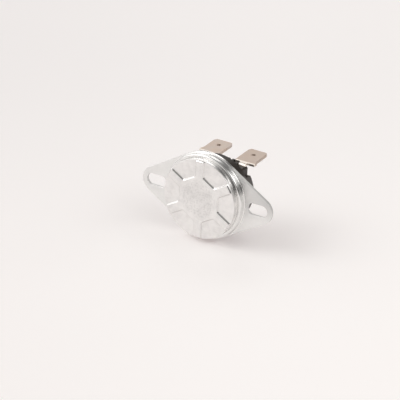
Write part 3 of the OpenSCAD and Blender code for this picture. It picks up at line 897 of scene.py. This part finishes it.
class THERMOSTAT_OT_body(bpy.types.Operator):
    """Build the moulded body with softened edges from its solid"""

    bl_idname = "thermostat.body"
    bl_label = "Moulded body"

    def execute(self, context):
        s = context.scene.thermostat_body
        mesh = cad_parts["body"].data.copy()
        mesh.materials.clear()
        mesh.materials.append(phenolic("dark_phenolic", s.colour, s.fibre))
        work = bmesh.new()
        work.from_mesh(mesh)
        bmesh.ops.remove_doubles(work, verts=work.verts, dist=WELD)
        bmesh.ops.dissolve_limit(work, angle_limit=math.radians(1), verts=work.verts, edges=work.edges)
        work.to_mesh(mesh)
        work.free()
        mesh.name = "moulded_body"
        piece = bpy.data.objects.new("moulded_body", mesh)
        context.scene.collection.objects.link(piece)
        bevel = piece.modifiers.new("edges", "BEVEL")
        bevel.width = s.edge
        bevel.segments = 3
        bevel.limit_method = "ANGLE"
        bevel.angle_limit = math.radians(35)
        bevel.harden_normals = True
        settle(piece, "housing", "body")
        return {"FINISHED"}


class THERMOSTAT_OT_terminals(bpy.types.Operator):
    """Build the two bent tab terminals and their rivets"""

    bl_idname = "thermostat.terminals"
    bl_label = "Terminals and rivets"

    def execute(self, context):
        s = context.scene.thermostat_terminal
        tin = plated("plated_brass", s)
        rivet = ringed("rivet_metal", s.rivet, s.pitch, 1.0, 0.2)
        for side, name in ((-1, "left"), (1, "right")):
            piece = terminal_shell(s, side).build("tab_terminal_" + name, tin)
            settle(piece, "housing", "terminal_" + name)
        for side, node in ((-1, "arm_rivet"), (1, "strip_rivet")):
            piece = rivet_shell(s, side, node).build("formed_" + node, rivet)
            settle(piece, "housing", node)
        return {"FINISHED"}


class THERMOSTAT_OT_button(bpy.types.Operator):
    """Build the reset plunger"""

    bl_idname = "thermostat.button"
    bl_label = "Reset button"

    def execute(self, context):
        s = context.scene.thermostat_body
        material = ringed("button_plastic", s.button, 0.0, 0.0, 0.38)
        settle(button_shell().build("reset_plunger", material), "reset", "reset_button")
        return {"FINISHED"}


class THERMOSTAT_OT_switch(bpy.types.Operator):
    """Finish the disc, its holder and the switch inside"""

    bl_idname = "thermostat.switch"
    bl_label = "Disc and switch"

    def execute(self, context):
        s = context.scene.thermostat_switch
        dress("bimetal_disc", strip_metal("bimetal", s.disc, (40, 1500, 1500)))
        dress("disc_holder", phenolic("brown_phenolic", s.holder, s.fibre))
        dress("transfer_pin", ringed("ceramic", s.ceramic, 0.0, 0.0, 0.3))
        dress("contact_arm", strip_metal("spring_copper", s.copper, (50, 1500, 1500)))
        silver = ringed("silver", s.silver, 3 * MM, 1.0, 0.16)
        dress("moving_contact", silver)
        dress("fixed_contact", silver)
        brass = strip_metal("strip_brass", s.brass, (50, 1500, 1500))
        dress("fixed_strip", brass)
        dress("arm_spacer", brass)
        return {"FINISHED"}


# The camera's own right and the way it looks, in the frame
CAMERA_RIGHT = Vector((0.8317, 0.5536, 0.0426))
CAMERA_VIEW = Vector((-0.4948, 0.7738, -0.3956))

# Levels of the room's light round the compass, in degrees from +X to +Y, at three heights over the horizon
LOW_LEVELS = (
    (-180, 0.155), (-120, 0.182), (-75, 0.073), (-62, 0.015), (-15, 0.015), (0, 0.018), (35, 0.018),
    (45, 0.073), (58, 0.073), (75, 0.009), (100, 0.036), (130, 0.073), (155, 0.109), (180, 0.155),
)
MIDDLE_LEVELS = (
    (-180, 0.3), (-140, 0.182), (-100, 0.055), (-62, 0.018), (-25, 0.018), (-20, 0.027), (20, 0.018),
    (42, 0.055), (50, 0.273), (57, 0.345), (61, 0.291), (67, 0.055), (90, 0.051), (115, 0.109),
    (140, 0.109), (180, 0.3),
)
HIGH_LEVELS = (
    (-180, 0.153), (-140, 0.964), (-112, 0.291), (-85, 0.073), (-60, 0.055), (-20, 0.473), (20, 0.473),
    (60, 0.018), (75, 0.022), (90, 0.055), (104, 0.345), (115, 0.376), (140, 0.227), (180, 0.153),
)
ROOF_LEVEL = 0.055

# Level of the paper at the horizon, which is grey on the camera's side
PAPER_LEVELS = ((-180, 1.0), (-100, 1.0), (-72, 0.45), (-32, 0.45), (-5, 1.0), (180, 1.0))
RAYS_THAT_SEE = ("Camera", "Glossy", "Transmission")


class THERMOSTAT_OT_stage(bpy.types.Operator):
    """Lay the floor, light the room and place the camera"""

    bl_idname = "thermostat.stage"
    bl_label = "Stage"

    def execute(self, context):
        s = context.scene.thermostat_stage
        self.camera(context.scene, s)
        self.floor(context.scene, s)
        self.room(context.scene, s)
        return {"FINISHED"}

    def camera(self, scene, s):
        """A long lens square to the picture, with the origin a little off its middle."""
        view = CAMERA_VIEW.normalized()
        up = CAMERA_RIGHT.cross(view).normalized()
        right = view.cross(up)
        data = bpy.data.cameras.new("camera")
        data.sensor_width = 36
        data.lens = s.lens
        data.clip_start = 0.01
        data.clip_end = 50
        camera = bpy.data.objects.new("camera", data)
        scene.collection.objects.link(camera)
        turn = Matrix((right, up, -view)).transposed().to_4x4()
        turn.translation = -s.distance * view - s.shift_x * right - s.shift_y * up
        camera.matrix_world = turn
        scene.camera = camera

    def floor(self, scene, s):
        """A pale matt floor that glows a little, like a light table, under the lowest point of the object.

        It carries painted shade that makes it a little darker on the left, and its glow fades far behind the
        object."""
        f = Finish(bpy.data.materials.new("pale_floor"))
        place = f.place()
        x, y, _ = f.split(place)
        ahead = CAMERA_VIEW.xy.normalized()
        away = x * ahead.x + y * ahead.y
        side = x * CAMERA_RIGHT.x + y * CAMERA_RIGHT.y
        cloud = f.noise(place, 3.0, 2.0)
        # Painted shade: the floor's colour darkens towards the left of the picture.
        tone = side.between(-0.09, 0.05) * 0.9 + cloud * 0.1
        base = f.mix(tone, shade(s.floor, 0.94), shade(s.floor, 1.01))
        glow = f.mix(away.between(-0.06, 0.16), s.glow, s.far_glow)
        material = f.surface(base_color=base, roughness=0.75, emission_color=glow, emission_strength=1.0)
        half = 4.0
        square = ((-half, -half), (half, -half), (half, half), (-half, half))
        mesh = bpy.data.meshes.new("floor")
        mesh.from_pydata([(*corner, FLOOR_Z) for corner in square], [], [(0, 1, 2, 3)])
        mesh.materials.append(material)
        piece = bpy.data.objects.new("floor", mesh)
        scene.collection.objects.link(piece)

    def compass_ramp(self, f, compass, colour, levels):
        """A colour whose level changes round the compass."""
        stops = [(0.5 + turn / 360, shade(colour, level)) for turn, level in levels]
        return f.add("ShaderNodeValToRGB", {"stops": stops}, {"Fac": compass})

    def room(self, scene, s):
        """A room of soft light whose levels change with the height and round the compass.

        Near the horizon the camera, metal and glass see a pale paper instead, and matt surfaces the room."""
        world = bpy.data.worlds.new("pale_studio")
        f = Finish(world)
        x, y, z = f.split(f.add("ShaderNodeTexCoord", output="Generated"))
        compass = x.math("ARCTAN2", y, x) * (0.5 / math.pi) + 0.5
        low, middle, high = (
            self.compass_ramp(f, compass, s.tone, levels)
            for levels in (LOW_LEVELS, MIDDLE_LEVELS, HIGH_LEVELS)
        )
        walls = f.mix(z.between(0.12, 0.3), low, middle)
        walls = f.mix(z.between(0.3, 0.6), walls, high)
        walls = f.mix(z.between(0.7, 0.9), walls, shade(s.tone, ROOF_LEVEL))
        light = f.add("ShaderNodeBackground", values={"Color": walls, "Strength": s.strength})
        backdrop = self.compass_ramp(f, compass, s.paper, PAPER_LEVELS)
        paper = f.add("ShaderNodeBackground", values={"Color": backdrop})
        seen = sum(f.add("ShaderNodeLightPath", output="Is %s Ray" % kind) for kind in RAYS_THAT_SEE)
        horizon = (1 - z.between(0.08, 0.085)) * seen
        mixed = f.add("ShaderNodeMixShader", values={0: horizon, 1: light, 2: paper})
        f.add("ShaderNodeOutputWorld", values={"Surface": mixed})
        scene.world = world
        scene.view_settings.view_transform = "Standard"


class THERMOSTAT_PT_panel(bpy.types.Panel):
    """The thermostat's pieces in the order in which they are made"""

    bl_label = "Safety thermostat"
    bl_idname = "THERMOSTAT_PT_panel"
    bl_space_type = "VIEW_3D"
    bl_region_type = "UI"
    bl_category = "Thermostat"

    def draw(self, context):
        for operator in OPERATORS:
            self.layout.operator(operator.bl_idname)


GROUPS = {
    "thermostat_cap": ThermostatCap,
    "thermostat_flange": ThermostatFlange,
    "thermostat_terminal": ThermostatTerminal,
    "thermostat_body": ThermostatBody,
    "thermostat_switch": ThermostatSwitch,
    "thermostat_stage": ThermostatStage,
}
OPERATORS = (
    THERMOSTAT_OT_cap,
    THERMOSTAT_OT_flange,
    THERMOSTAT_OT_body,
    THERMOSTAT_OT_terminals,
    THERMOSTAT_OT_button,
    THERMOSTAT_OT_switch,
    THERMOSTAT_OT_stage,
)


def register():
    for group in (*GROUPS.values(), *OPERATORS, THERMOSTAT_PT_panel):
        bpy.utils.register_class(group)
    for name, group in GROUPS.items():
        setattr(bpy.types.Scene, name, PointerProperty(type=group))


def unregister():
    for name in GROUPS:
        delattr(bpy.types.Scene, name)
    for group in (THERMOSTAT_PT_panel, *OPERATORS, *GROUPS.values()):
        bpy.utils.unregister_class(group)


def main():
    """Registers the classes and makes every piece and the stage."""
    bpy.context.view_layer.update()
    register()
    for operator in OPERATORS:
        group, name = operator.bl_idname.split(".")
        getattr(getattr(bpy.ops, group), name)()


if __name__ == "__main__":
    main()
